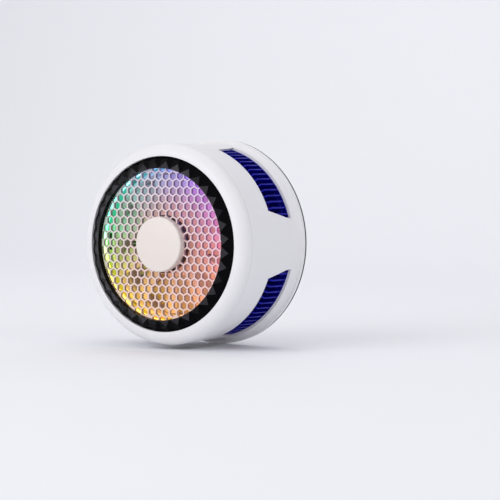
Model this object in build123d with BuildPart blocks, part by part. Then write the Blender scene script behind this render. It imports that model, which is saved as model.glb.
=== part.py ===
import math
import os

from build123d import *

# Magnetic cooling fan for the back of a phone, in millimetres. It stands as it does on an upright
# phone: +Z is up, and the fan's axis lies along Y. Depth is measured forward, towards -Y, from the
# face that touches the phone, so the origin is the middle of that face.

# Outer form
bezel_radius = 30.0
flange_overhang = 1.4
waist_inset = 0.5
wall_thickness = 1.3
lip_width = 3.95
lip_edge_width = 0.35
bezel_straight = 0.2
pad_thickness = 0.8
rim_thickness = 1.5
rim_round = 0.5
flare_length = 5.3
flare_middle_shares = (0.32, 0.6)
crown_rise = 1.4
cap_rise = 0.3
cut_overrun = 1.0

# Windows in the side wall, each between two pillars
window_count = 4
window_start_angle = 45.0
window_front_inset = 0.2
window_rear_inset = 0.3
window_sill_fall = 0.5
window_sill_reach = 1.8
window_front_half_width = 12.7
window_rear_half_width = 14.9
window_edge_break = 0.3

# Clearances
running_clearance = 0.03
sliding_clearance = 0.12
fit_clearance = 0.1
tip_clearance = 0.6
magnet_clearance = 0.3

# Ledges inside the side wall
front_bore_step = 0.4
front_bore_length = 1.9
cover_seat_width = 1.4
stop_rib_width = 1.2
stop_rib_thickness = 0.75

# Rear cover, cold plate and magnets
cover_thickness = 1.55
cover_lip_thickness = 0.7
cover_rim_width = 2.3
trough_floor_thickness = 1.2
trough_wall = 0.8
plate_gap = 0.4
plate_shoulder_width = 2.1
plate_thickness = 2.6
plate_edge_break = 0.3
magnet_width = 4.0
magnet_thickness = 1.15
magnet_count = 18
magnet_gap_angle = 1.2
backing_thickness = 0.4
pad_inner_margin = 0.7

# Cooling element and the foam round it
foam_margin = 0.3
foam_web = 3.2
element_thickness = 3.0
element_plate_thickness = 0.7
element_inset = 0.8

# Heatsink
sink_base_thickness = 1.7
sink_base_gap = 0.6
sink_web_thickness = 0.6
sink_core_height = 2.2
sink_core_gap = 5.5
fin_count = 90
fin_thickness = 0.5
fin_clearance = 0.3
fin_length = 13.4
sink_height = 10.8
fin_inner_slope = 3.0
fin_front_inset = 1.4
fin_corner_width = 3.3
fin_corner_length = 2.4
post_count = 4
post_angle = 45.0
post_radius = 1.9
post_front_inset = 0.05

# Fan frame and its motor
ear_thickness = 1.2
ear_radius = 2.6
ear_tail_width = 3.4
frame_gap = 0.4
frame_wall = 0.9
frame_length = 9.0
frame_front_gap = 0.5
base_thickness = 1.2
strut_count = 4
strut_width = 1.8
tube_radius = 2.65
tube_wall = 0.45
tube_floor = 0.4
tube_front_gap = 0.15
sleeve_inset = 1.2
shaft_radius = 0.75
thrust_pad_thickness = 0.4
driver_board_inset = 0.2
driver_board_thickness = 0.8
pole_count = 4
pole_neck_width = 2.0
pole_head_thickness = 1.1
pole_gap_angle = 16.0
core_hub_wall = 1.0
core_outer_radius = 7.2
core_lift = 1.8
coil_thickness = 0.9
coil_margin = 0.35
coil_front_gap = 0.4
magnet_ring_thickness = 1.0
magnet_ring_lift = 1.6
magnet_ring_gap = 0.3
yoke_wall = 0.4
yoke_skirt = 0.2
yoke_bore_margin = 0.3

# Impeller
hub_wall = 0.6
hub_disc_thickness = 1.0
hub_edge_round = 0.5
hub_recess = 0.1
boss_radius = 1.7
boss_length = 0.75
blade_count = 11
blade_thickness = 0.8
blade_root_sink = 1.4
blade_root_chord = 8.6
blade_tip_chord = 10.2
blade_root_pitch = 50.0
blade_tip_pitch = 34.0
blade_camber_share = 0.12
blade_middle_share = 0.5
blade_strut_gap = 0.6
ring_groove_depth = 0.15
ring_radius = 1.5
ring_thickness = 0.3
ring_drop = 0.15

# Control board, power inlet and button
board_clearance = 0.5
board_width = 5.0
board_thickness = 1.0
socket_width = 8.94
socket_height = 3.2
socket_wall = 0.3
socket_gap = 0.2
socket_tongue_width = 6.7
socket_tongue_thickness = 0.7
socket_tongue_inset = 1.4
socket_back_thickness = 1.2
socket_inset = 0.7
socket_opening_margin = 0.2
button_radius = 2.3
button_proud = 0.45
button_travel = 0.4
button_lip_width = 0.6
button_lip_thickness = 0.65
button_lip_gap = 0.3
button_lift = 2.0
button_dome_round = 0.3
switch_length = 3.0
switch_width = 5.0
switch_height = 3.4
switch_gap = 0.85
stem_width = 2.0
stem_height = 1.4
stem_seat = 0.8
notch_margin = 0.5

# Front: lamps, light guide, grille, facet ring and hub cap
led_board_thickness = 0.8
led_board_inset = 0.2
led_board_margin = 0.1
led_count = 16
led_side = 1.7
led_height = 0.6
led_edge_margin = 0.1
spigot_thickness = 0.75
spigot_length = 1.8
bezel_ledge_width = 1.15
bezel_ledge_thickness = 1.3
guide_inset = 0.15
grille_recess = 0.5
grille_thickness = 1.0
grille_seat_gap = 0.3
grille_opening_gap = 0.3
field_margin = 0.05
hexagon_pitch = 2.59
hexagon_web = 0.48
hexagon_keep_margin = 0.35
facet_count = 36
facet_width = 3.45
facet_point_length = 2.1
facet_groove_drop = 0.6
facet_edge_drop = 0.3
cap_radius = 8.2
cap_wall = 1.1
cap_edge_round = 0.45
cap_overlap = 0.2
collar_overlap = 0.4
collar_thickness = 0.9
collar_boss_inset = 1.2

# Screws
screw_radius = 0.8
screw_head_radius = 1.5
screw_head_height = 0.8
screw_length = 4.6
pilot_allowance = 0.8
led_screw_radius = 0.55
led_screw_head_radius = 0.8
led_screw_head_height = 0.5
led_screw_length = 3.0
led_screw_margin = 0.05
led_screw_count = 4
led_screw_angle = 22.5

# Depths that follow from the sizes above, from the phone forward
rim_depth = pad_thickness + rim_thickness
waist_depth = rim_depth + flare_length
cover_front_depth = pad_thickness + cover_thickness
trough_depth = pad_thickness + magnet_thickness + backing_thickness
trough_front_depth = trough_depth + trough_floor_thickness
element_depth = plate_thickness
sink_depth = element_depth + element_thickness
sink_front_depth = sink_depth + sink_height
fin_front_depth = sink_front_depth - fin_front_inset
window_rear_depth = sink_depth + window_rear_inset
window_front_depth = sink_front_depth - window_front_inset
rib_depth = sink_front_depth + post_front_inset
ear_depth = rib_depth + stop_rib_thickness
board_depth = ear_depth + ear_thickness
board_front_depth = board_depth + board_thickness
socket_depth = board_front_depth + socket_height / 2
button_depth = board_front_depth + button_lift
frame_front_depth = ear_depth + frame_length
led_board_depth = frame_front_depth + frame_front_gap
seam_depth = led_board_depth + led_board_thickness
guide_depth = seam_depth + led_height
ledge_depth = seam_depth + bezel_ledge_thickness
lip_depth = seam_depth + lip_width - lip_edge_width + bezel_straight
grille_front_depth = lip_depth - grille_recess
grille_depth = grille_front_depth - grille_thickness
crown_depth = lip_depth + crown_rise
cap_depth = crown_depth + cap_rise

# Depths of the motor
base_front_depth = ear_depth + base_thickness
tube_depth = ear_depth + tube_floor
hub_front_depth = frame_front_depth - hub_recess
hub_disc_depth = hub_front_depth - hub_disc_thickness
tube_front_depth = hub_disc_depth - boss_length - tube_front_gap
core_depth = base_front_depth + driver_board_thickness + core_lift
core_front_depth = hub_disc_depth - yoke_wall - coil_front_gap - coil_thickness
ring_magnet_depth = base_front_depth + magnet_ring_lift
ring_magnet_front_depth = hub_disc_depth - yoke_wall - magnet_ring_gap
blade_front_depth = hub_front_depth - hub_edge_round
blade_rear_depth = board_depth + blade_strut_gap

# Radii that follow from the outer form inward
flange_radius = bezel_radius + flange_overhang
waist_radius = bezel_radius - waist_inset
bore_radius = waist_radius - wall_thickness
front_bore_radius = bore_radius + front_bore_step
lip_radius = bezel_radius - lip_width
spigot_radius = front_bore_radius - fit_clearance
cover_radius = bore_radius + cover_seat_width - fit_clearance
trough_outer_radius = cover_radius - cover_rim_width
magnet_outer_radius = trough_outer_radius - fit_clearance * 2
magnet_inner_radius = magnet_outer_radius - magnet_width
trough_inner_radius = magnet_inner_radius - fit_clearance * 2
shoulder_radius = trough_inner_radius - trough_wall - plate_gap
plate_radius = shoulder_radius - plate_shoulder_width
foam_radius = shoulder_radius - foam_margin
element_side = (foam_radius - foam_web) * math.sqrt(2) - foam_margin * 2
post_circle_radius = magnet_inner_radius + magnet_width / 2
sink_base_radius = post_circle_radius - post_radius - sink_base_gap
fin_outer_radius = bore_radius - fin_clearance
fin_inner_radius = fin_outer_radius - fin_length
sink_core_radius = fin_inner_radius - sink_core_gap
board_outer_radius = bore_radius - board_clearance
board_inner_radius = board_outer_radius - board_width
frame_radius = board_inner_radius - frame_gap
frame_bore_radius = frame_radius - frame_wall
tip_radius = frame_bore_radius - tip_clearance
facet_inner_radius = lip_radius - fit_clearance - facet_width
facet_apex_radius = facet_inner_radius + facet_point_length
grille_radius = lip_radius - bezel_ledge_width - grille_seat_gap
grille_field_radius = facet_inner_radius + field_margin
guide_inner_radius = grille_field_radius + guide_inset
led_board_inner_radius = guide_inner_radius + led_board_inset
led_circle_radius = led_board_inner_radius + led_edge_margin + led_side / 2
led_screw_circle_radius = spigot_radius - spigot_thickness - led_screw_head_radius - led_screw_margin

# Radii of the motor and the cap
rod_bore_radius = shaft_radius + running_clearance
driver_board_radius = core_outer_radius - driver_board_inset
ring_magnet_outer_radius = core_outer_radius + magnet_clearance + magnet_ring_thickness
yoke_radius = ring_magnet_outer_radius + yoke_wall
hub_bore_radius = yoke_radius + fit_clearance
hub_radius = hub_bore_radius + hub_wall
base_radius = hub_radius
blade_root_radius = hub_radius - blade_root_sink
cap_field_radius = cap_radius - cap_overlap
collar_radius = cap_radius + collar_overlap
collar_boss_radius = cap_radius - collar_boss_inset
grille_opening_radius = collar_boss_radius + grille_opening_gap

# Lengths that follow
socket_length = bezel_radius - socket_inset - frame_radius - socket_gap
pilot_length = screw_length + pilot_allowance

# The drawing plane of every turned outline: radius to the right, depth upward
turning_plane = Plane(origin=(0, 0, 0), x_dir=(1, 0, 0), z_dir=(0, 0, -1))

# Planes facing down and to the left, whose second axis is depth, for the inlet and the button
bottom_plane = Plane(origin=(0, 0, 0), x_dir=(1, 0, 0), z_dir=(0, 0, -1))
left_plane = Plane(origin=(0, 0, 0), x_dir=(0, 0, -1), z_dir=(-1, 0, 0))

# The plane of a blade's sections: its second axis is depth
side_plane = Plane(origin=(0, 0, 0), x_dir=(0, 0, 1), z_dir=(1, 0, 0))


def across(depth):
    """The plane square to the fan's axis at a depth, seen from the front with +Z up."""
    return Plane.XZ.offset(depth)


def turn(points, mode=Mode.ADD):
    """Turn a closed outline of (radius, depth) points about the fan's axis."""
    with BuildSketch(turning_plane) as outline:
        with BuildLine():
            Polyline(*points, close=True)
        make_face()
    revolve(outline.sketch, axis=Axis.Y, mode=mode)


def ring(inner, outer, depth, thickness, mode=Mode.ADD):
    """A flat ring, or a disc where the inner radius is zero, from a depth forward."""
    with BuildSketch(across(depth)) as outline:
        Circle(outer)
        if inner > 0:
            Circle(inner, mode=Mode.SUBTRACT)
    extrude(outline.sketch, amount=thickness, mode=mode)


def finish(part, name):
    """Label a finished piece and write it."""
    part.part.label = name
    export_step(part.part, f"parts/{name}.step")


os.makedirs("parts", exist_ok=True)

# Windows in the side wall: slanted ends, and a sill that falls outward
with BuildPart() as windows:
    for index in range(window_count):
        angle = window_start_angle + index * 360 / window_count
        outward = Vector(math.cos(math.radians(angle)), 0, math.sin(math.radians(angle)))
        sideways = Vector(-math.sin(math.radians(angle)), 0, math.cos(math.radians(angle)))
        inner_place = fin_inner_radius
        with BuildSketch(Plane(origin=outward * inner_place, x_dir=sideways, z_dir=outward)):
            with BuildLine():
                Polyline(
                    (-window_rear_half_width, window_rear_depth - window_sill_fall),
                    (window_rear_half_width, window_rear_depth - window_sill_fall),
                    (window_front_half_width, window_front_depth),
                    (-window_front_half_width, window_front_depth),
                    close=True,
                )
            make_face()
    extrude(amount=flange_radius + cut_overrun - inner_place)
    turn(
        [
            (bore_radius - cut_overrun, window_rear_depth),
            (bore_radius, window_rear_depth),
            (bore_radius + window_sill_reach, window_rear_depth - window_sill_fall),
            (flange_radius + cut_overrun, window_rear_depth - window_sill_fall),
            (flange_radius + cut_overrun, window_front_depth),
            (bore_radius - cut_overrun, window_front_depth),
        ],
        mode=Mode.INTERSECT,
    )

# Housing: side wall, flange, windows, and the seats for the rear cover and the front spigot
with BuildPart() as housing:
    with BuildSketch(turning_plane):
        with BuildLine():
            seam = (bezel_radius, seam_depth)
            waist = (waist_radius, waist_depth)
            rim_front = (flange_radius, rim_depth)
            rim_rear = (flange_radius, pad_thickness + rim_round)
            rear_edge = (flange_radius - rim_round, pad_thickness)
            flare_reach = flange_radius - waist_radius
            Line(seam, waist)
            ThreePointArc(
                waist,
                (waist_radius + flare_reach * flare_middle_shares[0],
                 waist_depth + (rim_depth - waist_depth) * flare_middle_shares[1]),
                rim_front,
            )
            Line(rim_front, rim_rear)
            Line(rim_rear, rear_edge)
            Polyline(
                rear_edge,
                (bore_radius + cover_seat_width, pad_thickness),
                (bore_radius + cover_seat_width, cover_front_depth),
                (bore_radius, cover_front_depth),
                (bore_radius, rib_depth),
                (bore_radius - stop_rib_width, rib_depth),
                (bore_radius - stop_rib_width, ear_depth),
                (bore_radius, ear_depth),
                (bore_radius, seam_depth - front_bore_length),
                (front_bore_radius, seam_depth - front_bore_length),
                (front_bore_radius, seam_depth),
                seam,
            )
        make_face()
    revolve(axis=Axis.Y)
    add(windows.part, mode=Mode.SUBTRACT)
    outer_edges = [
        edge
        for edge in housing.edges()
        if window_rear_depth < -edge.center().Y < window_front_depth + fit_clearance
        and math.hypot(edge.center().X, edge.center().Z) > waist_radius - window_edge_break
    ]
    chamfer(outer_edges, length=window_edge_break)
    with BuildSketch(bottom_plane.offset(board_outer_radius)):
        with Locations((0, socket_depth)):
            SlotOverall(
                socket_width + 2 * socket_opening_margin,
                socket_height + 2 * socket_opening_margin,
            )
    extrude(amount=bezel_radius, mode=Mode.SUBTRACT)
    with BuildSketch(left_plane.offset(board_outer_radius)):
        with Locations((0, button_depth)):
            Circle(button_radius + sliding_clearance)
    extrude(amount=bezel_radius, mode=Mode.SUBTRACT)
finish(housing, "housing")

# Rear cover: lip over the cold plate, trough for the magnets, flange in the housing's seat
with BuildPart() as rear_cover:
    lip_front = pad_thickness + cover_lip_thickness
    turn(
        [
            (plate_radius + fit_clearance, pad_thickness),
            (trough_inner_radius, pad_thickness),
            (trough_inner_radius, trough_depth),
            (trough_outer_radius, trough_depth),
            (trough_outer_radius, pad_thickness),
            (cover_radius, pad_thickness),
            (cover_radius, cover_front_depth),
            (trough_outer_radius + trough_wall, cover_front_depth),
            (trough_outer_radius + trough_wall, trough_front_depth),
            (trough_inner_radius - trough_wall, trough_front_depth),
            (trough_inner_radius - trough_wall, lip_front),
            (plate_radius + fit_clearance, lip_front),
        ]
    )
    with BuildSketch(across(trough_depth)):
        with PolarLocations(post_circle_radius, post_count, post_angle):
            Circle(screw_head_radius + fit_clearance)
    extrude(amount=screw_head_height, mode=Mode.SUBTRACT)
    with BuildSketch(across(trough_depth)):
        with PolarLocations(post_circle_radius, post_count, post_angle):
            Circle(screw_radius + fit_clearance)
    extrude(amount=trough_floor_thickness + cut_overrun, mode=Mode.SUBTRACT)
finish(rear_cover, "rear_cover")

# Cold plate: its face lies on the phone, and its shoulder is held under the rear cover's lip
with BuildPart() as cold_plate:
    turn(
        [
            (0, 0),
            (plate_radius - plate_edge_break, 0),
            (plate_radius, plate_edge_break),
            (plate_radius, lip_front),
            (shoulder_radius, lip_front),
            (shoulder_radius, plate_thickness),
            (0, plate_thickness),
        ]
    )
finish(cold_plate, "cold_plate")

# Ring of arc magnets, and the steel ring behind them in the trough's floor
with BuildPart() as magnets:
    magnet_depth = pad_thickness
    ring(magnet_inner_radius, magnet_outer_radius, magnet_depth, magnet_thickness)
    gap_width = magnet_outer_radius * math.radians(magnet_gap_angle)
    with BuildSketch(across(magnet_depth)):
        with PolarLocations(magnet_inner_radius + magnet_width / 2, magnet_count):
            Rectangle(magnet_width + cut_overrun, gap_width)
    extrude(amount=magnet_thickness, mode=Mode.SUBTRACT)
finish(magnets, "magnets")

with BuildPart() as backing_ring:
    ring(magnet_inner_radius, magnet_outer_radius, trough_depth - backing_thickness, backing_thickness)
finish(backing_ring, "backing_ring")

# Soft pad over the magnets and out to the flange's rounded edge, level with the cold plate's face
with BuildPart() as contact_pad:
    ring(trough_inner_radius - pad_inner_margin, flange_radius - rim_round, 0, pad_thickness)
finish(contact_pad, "contact_pad")

# Cooling element: two ceramic plates with the pellets between them
with BuildPart() as peltier_module:
    pellet_depth = element_depth + element_plate_thickness
    pellet_length = element_thickness - 2 * element_plate_thickness
    for depth, side, thickness in (
        (element_depth, element_side, element_plate_thickness),
        (pellet_depth, element_side - 2 * element_inset, pellet_length),
        (pellet_depth + pellet_length, element_side, element_plate_thickness),
    ):
        with BuildSketch(across(depth)):
            Rectangle(side, side)
        extrude(amount=thickness)
finish(peltier_module, "peltier_module")

# Foam ring that keeps the cold and the hot side apart
with BuildPart() as insulation_ring:
    with BuildSketch(across(element_depth)):
        Circle(foam_radius)
        Rectangle(element_side + 2 * foam_margin, element_side + 2 * foam_margin, mode=Mode.SUBTRACT)
    extrude(amount=element_thickness)
finish(insulation_ring, "insulation_ring")

# Heatsink: radial fins, clear of the fan in front so that its air spreads over them and out of the
# windows, on a base whose thin web closes their gaps towards the phone, and four posts
with BuildPart() as heatsink:
    with BuildSketch(across(sink_depth)):
        with PolarLocations((fin_inner_radius + fin_outer_radius) / 2, fin_count):
            Rectangle(fin_outer_radius - fin_inner_radius + cut_overrun, fin_thickness)
    extrude(amount=sink_height)
    turn(
        [
            (fin_inner_radius, sink_depth),
            (fin_outer_radius, sink_depth),
            (fin_outer_radius, fin_front_depth - fin_corner_length),
            (fin_outer_radius - fin_corner_width, fin_front_depth),
            (fin_inner_radius + fin_inner_slope, fin_front_depth),
            (fin_inner_radius, sink_depth + sink_base_thickness),
        ],
        mode=Mode.INTERSECT,
    )
    turn(
        [
            (0, sink_depth),
            (fin_outer_radius, sink_depth),
            (fin_outer_radius, sink_depth + sink_web_thickness),
            (sink_base_radius, sink_depth + sink_web_thickness),
            (sink_base_radius, sink_depth + sink_base_thickness),
            (sink_core_radius, sink_depth + sink_base_thickness),
            (sink_core_radius, sink_depth + sink_base_thickness + sink_core_height),
            (0, sink_depth + sink_base_thickness + sink_core_height),
        ]
    )
    with BuildSketch(across(trough_front_depth)):
        with PolarLocations(post_circle_radius, post_count, post_angle):
            Circle(post_radius)
    extrude(amount=rib_depth - trough_front_depth)
    with BuildSketch(across(trough_front_depth)):
        with PolarLocations(post_circle_radius, post_count, post_angle):
            Circle(screw_radius)
    extrude(amount=pilot_length, mode=Mode.SUBTRACT)
    with BuildSketch(across(rib_depth - pilot_length)):
        with PolarLocations(post_circle_radius, post_count, post_angle):
            Circle(screw_radius)
    extrude(amount=pilot_length, mode=Mode.SUBTRACT)
finish(heatsink, "heatsink")

# Fan frame: ring, motor base, struts, and ears that clamp the housing's rib to the heatsink
with BuildPart() as fan_frame:
    ring(frame_bore_radius, frame_radius, ear_depth, frame_length)
    with BuildSketch(across(ear_depth)):
        Circle(base_radius)
        with PolarLocations((base_radius + frame_bore_radius) / 2, strut_count, post_angle):
            Rectangle(frame_radius - base_radius + strut_width, strut_width)
        with PolarLocations(post_circle_radius, post_count, post_angle):
            Circle(ear_radius)
        with PolarLocations((frame_radius + post_circle_radius) / 2, post_count, post_angle):
            Rectangle(post_circle_radius - frame_radius + frame_wall, ear_tail_width)
    extrude(amount=ear_thickness)
    ring(0, tube_radius, ear_depth + tube_floor, ear_thickness, mode=Mode.SUBTRACT)
    with BuildSketch(across(ear_depth)):
        with PolarLocations(post_circle_radius, post_count, post_angle):
            Circle(screw_radius + fit_clearance)
    extrude(amount=ear_thickness, mode=Mode.SUBTRACT)
finish(fan_frame, "fan_frame")

# Bearing: brass tube in the base, thrust pad on its floor, sleeve in its front end
with BuildPart() as bearing_tube:
    ring(tube_radius - tube_wall, tube_radius, tube_depth, tube_front_depth - tube_depth)
finish(bearing_tube, "bearing_tube")

with BuildPart() as thrust_pad:
    ring(0, tube_radius - tube_wall, tube_depth, thrust_pad_thickness)
finish(thrust_pad, "thrust_pad")

sleeve_depth = tube_depth + sleeve_inset
with BuildPart() as sleeve_bearing:
    ring(rod_bore_radius, tube_radius - tube_wall, sleeve_depth, tube_front_depth - sleeve_depth)
finish(sleeve_bearing, "sleeve_bearing")

# Rotor shaft with a groove for its retaining ring, and the ring
shaft_depth = tube_depth + thrust_pad_thickness + running_clearance
shaft_front_depth = hub_front_depth - ring_thickness
ring_front_depth = sleeve_depth - ring_drop
with BuildPart() as rotor_shaft:
    ring(0, shaft_radius, shaft_depth, shaft_front_depth - shaft_depth)
    ring(
        shaft_radius - ring_groove_depth,
        shaft_radius,
        ring_front_depth - ring_thickness,
        ring_thickness,
        mode=Mode.SUBTRACT,
    )
finish(rotor_shaft, "rotor_shaft")

with BuildPart() as retaining_ring:
    ring(
        shaft_radius - ring_groove_depth,
        ring_radius,
        ring_front_depth - ring_thickness,
        ring_thickness,
    )
finish(retaining_ring, "retaining_ring")

# Driver board on the motor base, stator core and its coils
with BuildPart() as driver_board:
    ring(tube_radius, driver_board_radius, base_front_depth, driver_board_thickness)
finish(driver_board, "driver_board")

core_thickness = core_front_depth - core_depth
with BuildPart() as stator_core:
    ring(core_outer_radius - pole_head_thickness, core_outer_radius, core_depth, core_thickness)
    with BuildSketch(across(core_depth)):
        with PolarLocations(core_outer_radius, pole_count, post_angle):
            Rectangle(
                pole_head_thickness * 2 + cut_overrun,
                core_outer_radius * math.radians(pole_gap_angle),
            )
    extrude(amount=core_thickness, mode=Mode.SUBTRACT)
    ring(tube_radius, tube_radius + core_hub_wall, core_depth, core_thickness)
    neck_start = tube_radius + core_hub_wall / 2
    neck_end = core_outer_radius - pole_head_thickness / 2
    with BuildSketch(across(core_depth)):
        with PolarLocations((neck_start + neck_end) / 2, pole_count):
            Rectangle(neck_end - neck_start, pole_neck_width)
    extrude(amount=core_thickness)
finish(stator_core, "stator_core")

with BuildPart() as stator_coils:
    coil_start = tube_radius + core_hub_wall + coil_margin
    coil_end = core_outer_radius - pole_head_thickness - coil_margin
    with BuildSketch(across(core_depth - coil_thickness)):
        with PolarLocations((coil_start + coil_end) / 2, pole_count):
            Rectangle(coil_end - coil_start, pole_neck_width + 2 * coil_thickness)
    extrude(amount=core_thickness + 2 * coil_thickness)
    with BuildSketch(across(core_depth)):
        with PolarLocations((coil_start + coil_end) / 2, pole_count):
            Rectangle(coil_end - coil_start, pole_neck_width)
    extrude(amount=core_thickness, mode=Mode.SUBTRACT)
finish(stator_coils, "stator_coils")

# Rotor: ring magnet in a steel cup, and the impeller pressed over the cup
with BuildPart() as rotor_magnet:
    ring(
        core_outer_radius + magnet_clearance,
        ring_magnet_outer_radius,
        ring_magnet_depth,
        ring_magnet_front_depth - ring_magnet_depth,
    )
finish(rotor_magnet, "rotor_magnet")

with BuildPart() as rotor_yoke:
    turn(
        [
            (boss_radius + yoke_bore_margin, hub_disc_depth),
            (yoke_radius, hub_disc_depth),
            (yoke_radius, ring_magnet_depth - yoke_skirt),
            (ring_magnet_outer_radius, ring_magnet_depth - yoke_skirt),
            (ring_magnet_outer_radius, hub_disc_depth - yoke_wall),
            (boss_radius + yoke_bore_margin, hub_disc_depth - yoke_wall),
        ]
    )
finish(rotor_yoke, "rotor_yoke")

# One blade: curved sections on planes square to its own radius, from inside the hub to the tip
blade_middle_depth = (blade_front_depth + blade_rear_depth) / 2
with BuildPart() as blade:
    for span_share in (0, blade_middle_share, 1):
        place = blade_root_radius + (frame_bore_radius - blade_root_radius) * span_share
        chord = blade_root_chord + (blade_tip_chord - blade_root_chord) * span_share
        pitch = math.radians(blade_root_pitch + (blade_tip_pitch - blade_root_pitch) * span_share)
        camber = chord * blade_camber_share
        along = Vector(math.cos(pitch), math.sin(pitch))
        normal = Vector(-math.sin(pitch), math.cos(pitch))
        centre = Vector(0, blade_middle_depth)
        with BuildSketch(side_plane.offset(place)):
            with BuildLine():
                rear_low = centre - along * (chord / 2) - normal * (blade_thickness / 2)
                rear_high = centre - along * (chord / 2) + normal * (blade_thickness / 2)
                front_low = centre + along * (chord / 2) - normal * (blade_thickness / 2)
                front_high = centre + along * (chord / 2) + normal * (blade_thickness / 2)
                ThreePointArc(rear_low, centre + normal * (camber - blade_thickness / 2), front_low)
                Line(front_low, front_high)
                ThreePointArc(front_high, centre + normal * (camber + blade_thickness / 2), rear_high)
                Line(rear_high, rear_low)
            make_face()
    loft()
    turn(
        [
            (hub_bore_radius + fit_clearance, blade_rear_depth),
            (tip_radius, blade_rear_depth),
            (tip_radius, blade_front_depth),
            (hub_bore_radius + fit_clearance, blade_front_depth),
        ],
        mode=Mode.INTERSECT,
    )

with BuildPart() as impeller:
    turn(
        [
            (0, hub_disc_depth - boss_length),
            (boss_radius, hub_disc_depth - boss_length),
            (boss_radius, hub_disc_depth),
            (yoke_radius, hub_disc_depth),
            (yoke_radius, ring_magnet_depth - yoke_skirt),
            (hub_radius, ring_magnet_depth - yoke_skirt),
            (hub_radius, hub_front_depth - hub_edge_round),
            (hub_radius - hub_edge_round, hub_front_depth),
            (0, hub_front_depth),
        ]
    )
    for index in range(blade_count):
        add(blade.part.rotate(Axis.Y, index * 360 / blade_count))
    ring(
        0,
        shaft_radius,
        hub_disc_depth - boss_length - cut_overrun,
        shaft_front_depth - hub_disc_depth + boss_length + cut_overrun,
        mode=Mode.SUBTRACT,
    )
finish(impeller, "impeller")

# Control board round the fan, with holes for the fan screws and a notch for the button's lip
button_lip_front = bore_radius - button_lip_gap
button_lip_rear = button_lip_front - button_lip_thickness
with BuildPart() as main_board:
    ring(board_inner_radius, board_outer_radius, board_depth, board_thickness)
    with BuildSketch(across(board_depth)):
        with PolarLocations(post_circle_radius, post_count, post_angle):
            Circle(screw_radius + fit_clearance)
        notch_length = board_outer_radius - button_lip_rear + button_travel + notch_margin
        with Locations((-board_outer_radius + notch_length / 2 - cut_overrun, 0)):
            Rectangle(
                notch_length + 2 * cut_overrun,
                2 * (button_radius + button_lip_width + notch_margin),
            )
    extrude(amount=board_thickness, mode=Mode.SUBTRACT)
finish(main_board, "main_board")

# Power inlet: metal shell with rounded sides, its back, and the tongue
with BuildPart() as usb_c_socket:
    socket_back = bezel_radius - socket_inset - socket_length
    with BuildSketch(bottom_plane.offset(socket_back)):
        with Locations((0, socket_depth)):
            SlotOverall(socket_width, socket_height)
    extrude(amount=socket_length)
    with BuildSketch(bottom_plane.offset(socket_back + socket_back_thickness)):
        with Locations((0, socket_depth)):
            SlotOverall(socket_width - 2 * socket_wall, socket_height - 2 * socket_wall)
    extrude(amount=socket_length, mode=Mode.SUBTRACT)
    with BuildSketch(bottom_plane.offset(socket_back)):
        with Locations((0, socket_depth)):
            Rectangle(socket_tongue_width, socket_tongue_thickness)
    extrude(amount=socket_length - socket_tongue_inset)
finish(usb_c_socket, "usb_c_socket")

# Mode button, its switch, and the switch's stem that moves with it
with BuildPart() as mode_button:
    wall_radius = waist_radius + (bezel_radius - waist_radius) * (
        (button_depth - waist_depth) / (seam_depth - waist_depth)
    )
    button_face = wall_radius + button_proud
    with BuildSketch(left_plane.offset(button_lip_rear)):
        with Locations((0, button_depth)):
            Circle(button_radius + button_lip_width)
    extrude(amount=button_lip_thickness)
    with BuildSketch(left_plane.offset(button_lip_rear)):
        with Locations((0, button_depth)):
            Circle(button_radius)
    extrude(amount=button_face - button_lip_rear)
    fillet(mode_button.edges().sort_by(Axis.X)[0], radius=button_dome_round)
finish(mode_button, "mode_button")

switch_face = button_lip_rear - switch_gap
with BuildPart() as button_switch:
    with BuildSketch(left_plane.offset(switch_face - switch_length)):
        with Locations((0, board_front_depth + switch_height / 2)):
            Rectangle(switch_width, switch_height)
    extrude(amount=switch_length)
    with BuildSketch(left_plane.offset(switch_face - stem_seat - button_travel - fit_clearance)):
        with Locations((0, button_depth)):
            Rectangle(stem_width + 2 * sliding_clearance, stem_height + 2 * sliding_clearance)
    extrude(amount=switch_length, mode=Mode.SUBTRACT)
finish(button_switch, "button_switch")

with BuildPart() as switch_stem:
    with BuildSketch(left_plane.offset(switch_face - stem_seat)):
        with Locations((0, button_depth)):
            Rectangle(stem_width, stem_height)
    extrude(amount=stem_seat + switch_gap)
finish(switch_stem, "switch_stem")

# Screws: the fan's go through board and ear into the posts, the cover's into the posts' rear ends
with BuildPart() as fan_screws:
    for depth, radius, length in (
        (board_front_depth - screw_length, screw_radius, screw_length),
        (board_front_depth, screw_head_radius, screw_head_height),
    ):
        with BuildSketch(across(depth)):
            with PolarLocations(post_circle_radius, post_count, post_angle):
                Circle(radius)
        extrude(amount=length)
finish(fan_screws, "fan_screws")

with BuildPart() as rear_screws:
    for depth, radius, length in (
        (trough_depth, screw_head_radius, screw_head_height),
        (trough_depth + screw_head_height, screw_radius, screw_length),
    ):
        with BuildSketch(across(depth)):
            with PolarLocations(post_circle_radius, post_count, post_angle):
                Circle(radius)
        extrude(amount=length)
finish(rear_screws, "rear_screws")

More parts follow.
